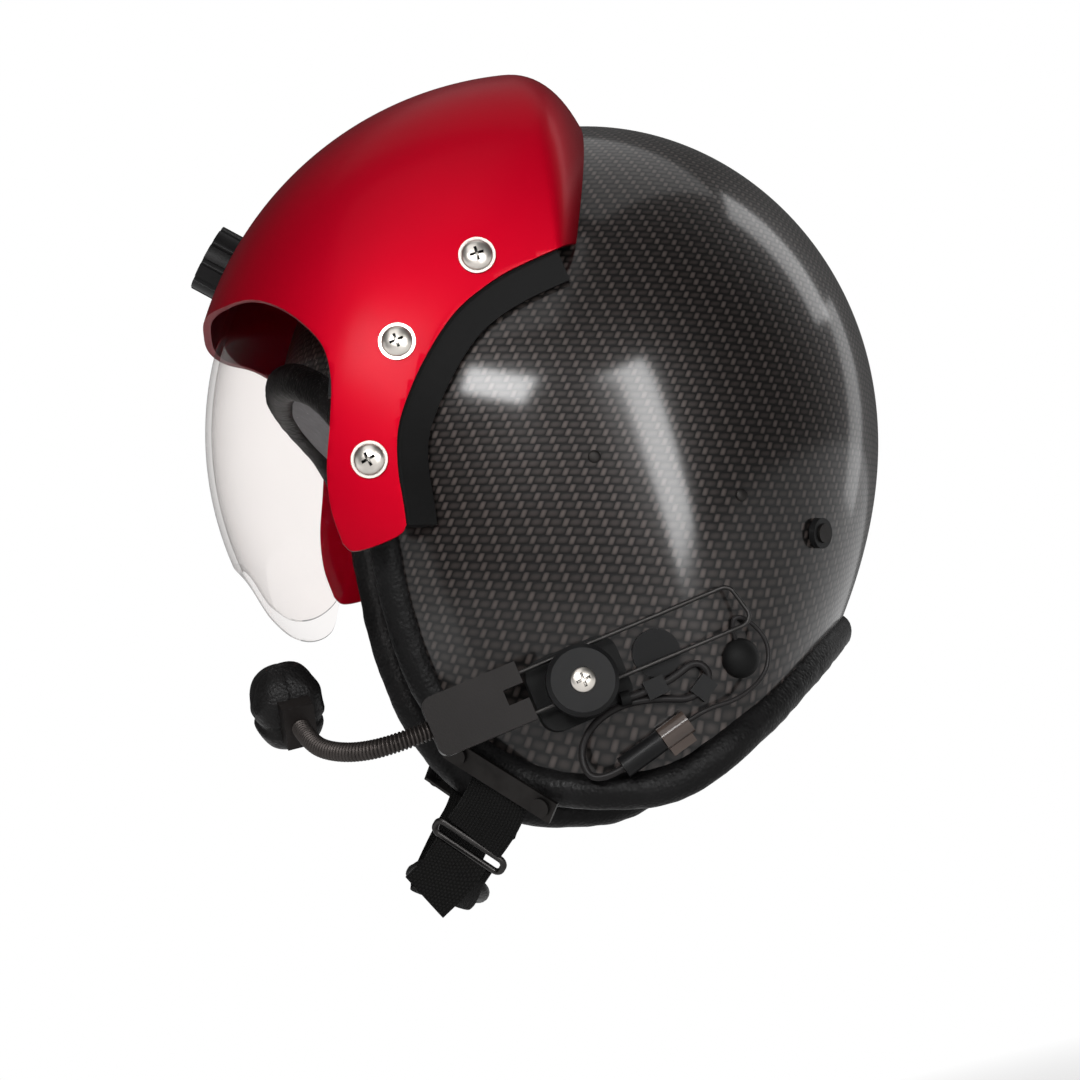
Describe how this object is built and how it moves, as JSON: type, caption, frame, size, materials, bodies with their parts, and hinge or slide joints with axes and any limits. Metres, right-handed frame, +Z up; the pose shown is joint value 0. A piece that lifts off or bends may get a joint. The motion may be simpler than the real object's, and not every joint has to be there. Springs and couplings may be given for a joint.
{
  "type": "flight helmet",
  "caption": "Aircrew flight helmet with a carbon shell, a padded edge roll, a red visor housing over a lifting clear visor, ear cups, a chin strap and a sliding boom microphone",
  "frame": {"origin": "Inside the head cavity, on the middle plane, at the centre of the head opening mount", "axes": "+Z is up toward the crown, -Y is the front where the face looks out, +X is the wearer's left side, which carries the boom microphone"},
  "size_m": [0.2579, 0.2763, 0.3183],
  "materials": {
    "carbon_shell": "clear-coated carbon cloth, glossy",
    "red_paint": "glossy metallic paint",
    "black_leather": "soft satin",
    "foam_grey": "matte moulded foam",
    "lining_cloth": "matte",
    "black_rubber": "matte",
    "clear_lens": "clear, polished",
    "black_plastic": "satin moulded",
    "grey_plastic": "satin moulded",
    "steel": "satin",
    "nickel": "polished",
    "gooseneck_metal": "dull ribbed",
    "webbing": "woven",
    "muff_leather": "soft satin",
    "jack_brown": "smooth moulded",
    "lead_rubber": "satin"
  },
  "bodies": {
    "helmet": {"outer_shell": "carbon_shell", "edge_roll": "black_leather", "energy_liner": "foam_grey", "comfort_liner": "lining_cloth", "nape_pad": "lining_cloth", "visor_housing": "red_paint", "housing_screws": "nickel", "housing_washers": "nickel", "housing_spacers": "black_plastic", "visor_track_left": "black_plastic", "visor_track_right": "black_plastic", "housing_gasket": "black_rubber", "ear_cup_left": "black_plastic", "ear_seal_left": "black_leather", "ear_speaker_left": "grey_plastic", "ear_cup_right": "black_plastic", "ear_seal_right": "black_leather", "ear_speaker_right": "grey_plastic", "ear_cup_screws": "black_plastic", "nape_screw_cups": "black_plastic", "nape_screws": "steel", "liner_rivets": "nickel", "boom_base": "black_rubber", "mic_lead": "lead_rubber", "ear_lead": "lead_rubber", "mic_plug": "black_plastic", "mic_jack": "jack_brown", "cable_boot": "black_rubber", "cable_clips": "black_plastic", "anchor_plate_left": "steel", "anchor_plate_right": "steel", "anchor_screws": "nickel", "chinstrap_left": "webbing", "chinstrap_under": "webbing", "strap_tail": "webbing", "chin_pad": "black_leather", "buckle_ring": "steel"},
    "visor": {"clear_visor": "clear_lens", "visor_bracket": "black_plastic", "visor_stud": "steel", "visor_shoes": "black_plastic"},
    "visor_knob": {"visor_knob": "black_plastic"},
    "boom_clamp": {"clamp_block": "black_plastic"},
    "clamp_knob": {"clamp_knob": "black_plastic", "clamp_screw": "nickel"},
    "boom": {"boom_wire": "steel", "boom_slab": "grey_plastic", "gooseneck": "gooseneck_metal"},
    "mic": {"mic_yoke": "grey_plastic", "mic_muff": "muff_leather"}
  },
  "joints": [
    {"name": "visor_lift", "type": "hinge", "parent": "helmet", "child": "visor", "pos_m": [0, -0.022, 0.0483], "axis": [-1, 0, 0], "range_deg": [0, 45]},
    {"name": "visor_knob_turn", "type": "hinge", "parent": "visor", "child": "visor_knob", "pos_m": [0, -0.12459, 0.1443], "axis": [0, -0.7302, 0.6833], "range_deg": [-180, 180]},
    {"name": "boom_swivel", "type": "hinge", "parent": "helmet", "child": "boom_clamp", "pos_m": [0.1155, -0.042, -0.059], "axis": [1, 0, 0], "range_deg": [0, 30]},
    {"name": "clamp_knob_turn", "type": "hinge", "parent": "boom_clamp", "child": "clamp_knob", "pos_m": [0.1155, -0.042, -0.059], "axis": [1, 0, 0], "range_deg": [-180, 180]},
    {"name": "boom_extend", "type": "slide", "parent": "boom_clamp", "child": "boom", "axis": [0, -0.9903, -0.1392], "range_m": [-0.005, 0.04]},
    {"name": "mic_swivel", "type": "hinge", "parent": "boom", "child": "mic", "pos_m": [0.081, -0.145, -0.0468], "axis": [-0.8366, -0.1394, 0.5298], "range_deg": [-60, 60]}
  ]
}
